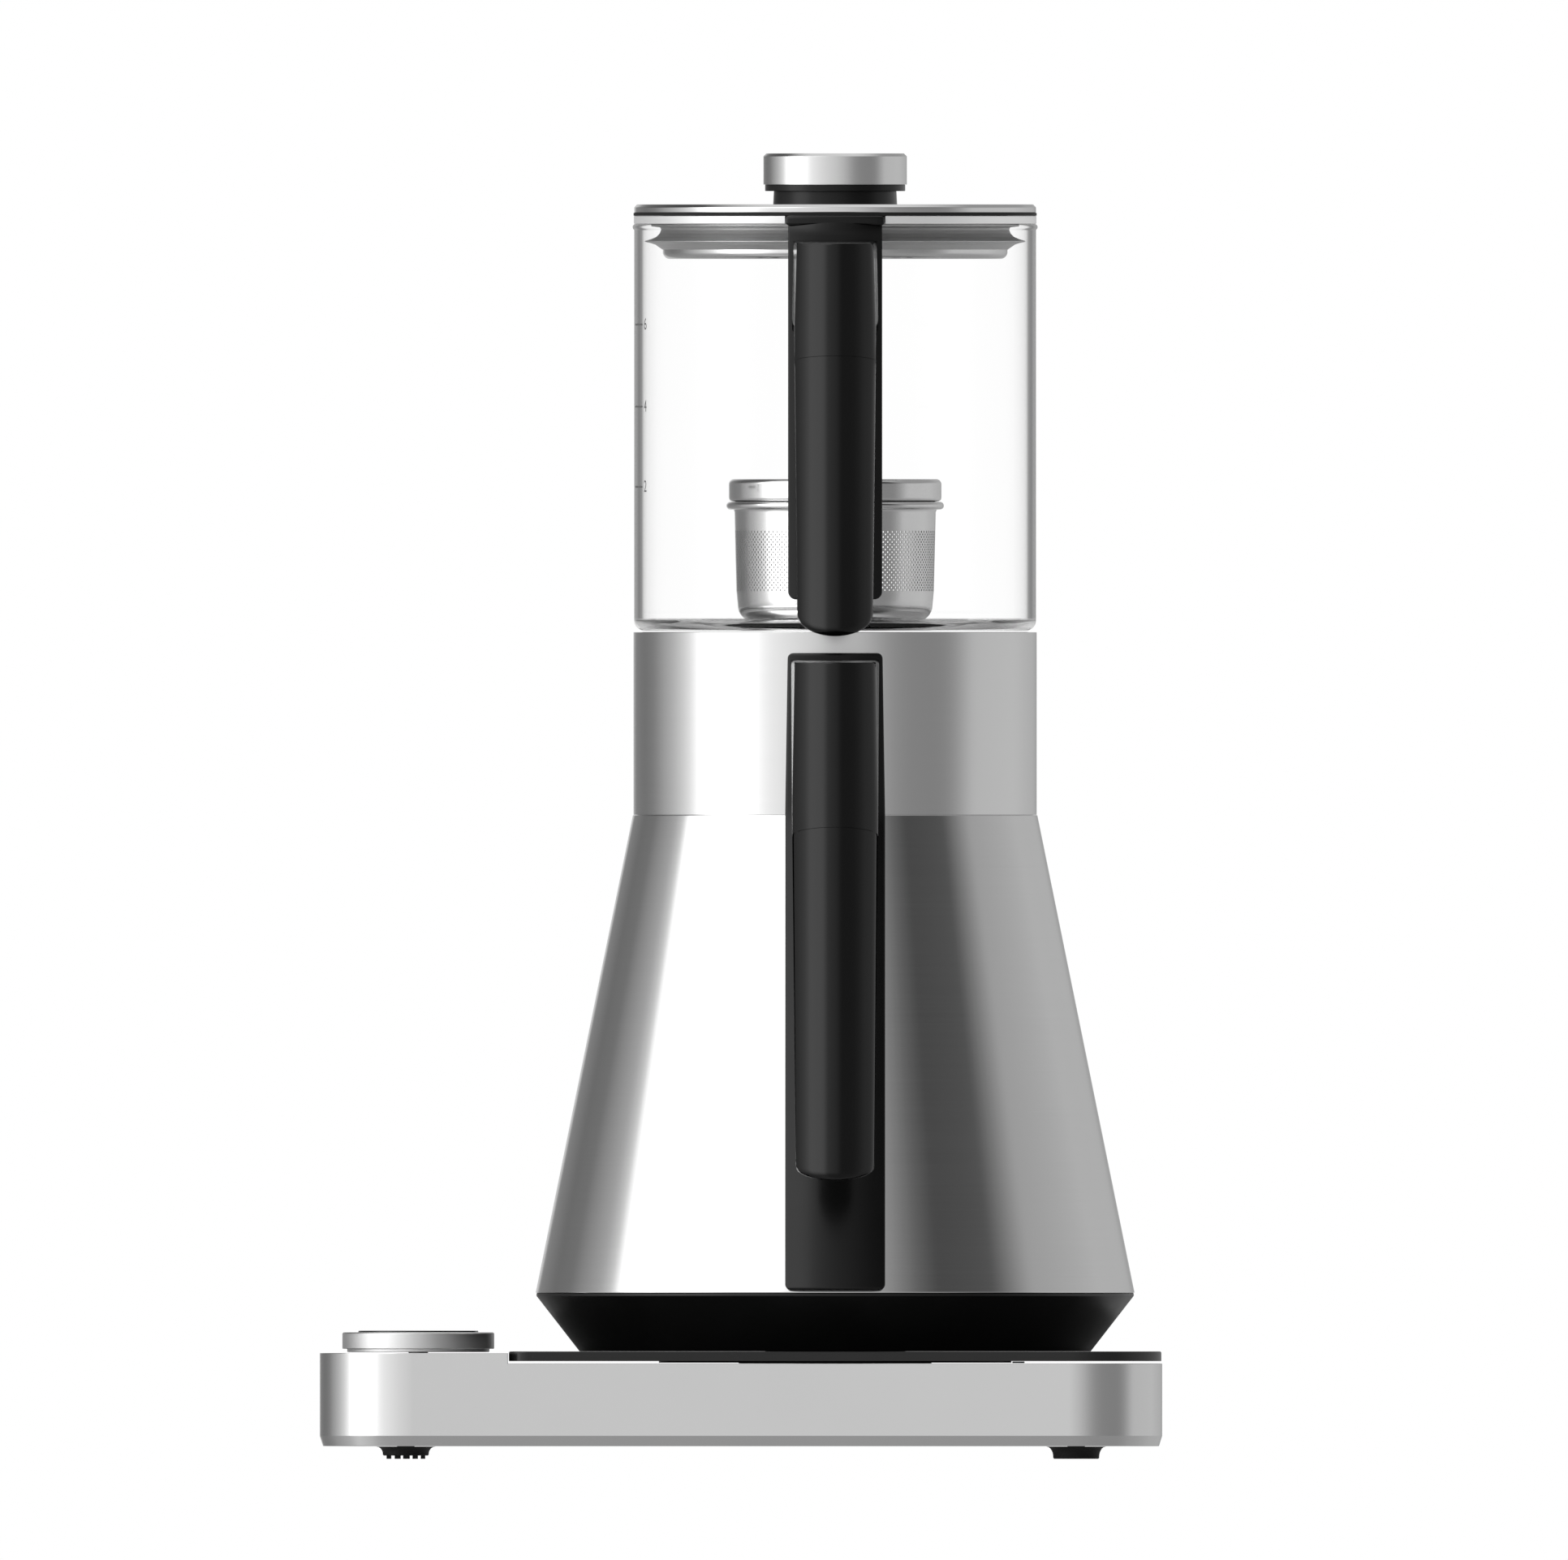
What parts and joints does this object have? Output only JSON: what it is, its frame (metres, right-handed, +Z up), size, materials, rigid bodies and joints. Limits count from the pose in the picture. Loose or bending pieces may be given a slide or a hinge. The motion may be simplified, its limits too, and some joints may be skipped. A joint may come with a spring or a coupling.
{
  "type": "automatic tea maker",
  "caption": "Two-storey tea maker: glass teapot with steel infuser on a cone-shaped steel kettle, on a powered base with a rotary dial; open-ended black handles.",
  "frame": {"origin": "centre of the footprint of the whole object (base, handles and spouts) on the surface that it stands on", "axes": "+Z up; handles towards -Y, spouts towards +Y, dial towards -X; the kettle's axis is at x 0.029, y 0.0133"},
  "size_m": [0.2594, 0.2282, 0.4021],
  "materials": {
    "silver_housing": "satin silver",
    "black_plastic": "fine satin moulding",
    "grip_plastic": "soft satin moulding",
    "black_plate": "gloss",
    "polished_steel": "polished stainless steel",
    "brushed_steel": "brushed stainless steel",
    "dial_metal": "turned, fine brushed rim",
    "screw_steel": "plain zinc-plated steel",
    "circuit_board": "solder mask",
    "rubber": "matte",
    "silicone": "smooth translucent silicone",
    "glass": "clear borosilicate glass"
  },
  "bodies": {
    "base": {"base_shell": "silver_housing", "base_bottom_cover": "black_plastic", "rest_plate": "black_plate", "plate_support": "black_plastic", "plate_spacer": "screw_steel", "base_coupler": "black_plastic", "control_board": "circuit_board", "power_board": "circuit_board", "power_relay": "black_plastic", "cord_gland": "rubber", "foot_right_far": "rubber", "foot_right_near": "rubber", "foot_left_far": "rubber", "foot_left_near": "rubber", "base_screw_1": "screw_steel", "base_screw_2": "screw_steel", "base_screw_3": "screw_steel", "base_screw_4": "screw_steel", "encoder_body": "screw_steel"},
    "dial": {"dial_ring": "dial_metal", "dial_spindle": "screw_steel"},
    "dial_button": {"dial_cap": "black_plate"},
    "kettle": {"kettle_body": "polished_steel", "kettle_neck": "polished_steel", "kettle_collar": "brushed_steel", "kettle_skirt": "black_plastic", "kettle_coupler": "black_plastic", "heating_element": "screw_steel", "thermostat": "screw_steel", "kettle_spout": "polished_steel", "spout_filter": "brushed_steel", "kettle_strip": "black_plastic", "kettle_handle_arm": "grip_plastic", "kettle_handle_cap": "grip_plastic", "kettle_grip_cover": "grip_plastic", "kettle_handle_screw_upper": "screw_steel", "kettle_handle_screw_lower": "screw_steel"},
    "kettle_cover": {"kettle_lid": "polished_steel"},
    "pot": {"pot_glass": "glass", "pot_band": "polished_steel", "pot_bracket": "black_plastic", "pot_handle_arm": "grip_plastic", "pot_handle_cap": "grip_plastic", "pot_grip_cover": "grip_plastic", "pot_handle_screw": "screw_steel"},
    "pot_lid": {"lid_disc": "polished_steel", "lid_gasket": "rubber", "lid_plug": "polished_steel", "lid_seal": "silicone", "knob_neck": "black_plastic", "knob_collar": "black_plastic", "knob_cap": "brushed_steel", "knob_screw": "screw_steel"},
    "infuser": {"infuser_basket": "brushed_steel"},
    "infuser_cover": {"infuser_cap": "polished_steel"}
  },
  "joints": [
    {"name": "dial_turn", "type": "hinge", "parent": "base", "child": "dial", "pos_m": [-0.0994, 0.01333, 0.036], "axis": [0, 0, 1], "continuous": true},
    {"name": "dial_press", "type": "slide", "parent": "dial", "child": "dial_button", "axis": [0, 0, -1], "range_m": [0, 0.0008], "stiffness_N_per_m": 500, "springref_m": -0.0015},
    {"name": "kettle_lift", "type": "slide", "parent": "base", "child": "kettle", "axis": [0, 0, 1], "range_m": [0, 0.12]},
    {"name": "kettle_lid_lift", "type": "slide", "parent": "kettle", "child": "kettle_cover", "axis": [0, 0, 1], "range_m": [0, 0.06]},
    {"name": "pot_lift", "type": "slide", "parent": "kettle_cover", "child": "pot", "axis": [0, 0, 1], "range_m": [0, 0.12]},
    {"name": "pot_lid_lift", "type": "slide", "parent": "pot", "child": "pot_lid", "axis": [0, 0, 1], "range_m": [0, 0.08]},
    {"name": "infuser_lift", "type": "slide", "parent": "pot", "child": "infuser", "axis": [0, 0, 1], "range_m": [0, 0.03]},
    {"name": "infuser_cap_lift", "type": "slide", "parent": "infuser", "child": "infuser_cover", "axis": [0, 0, 1], "range_m": [0, 0.03]}
  ]
}
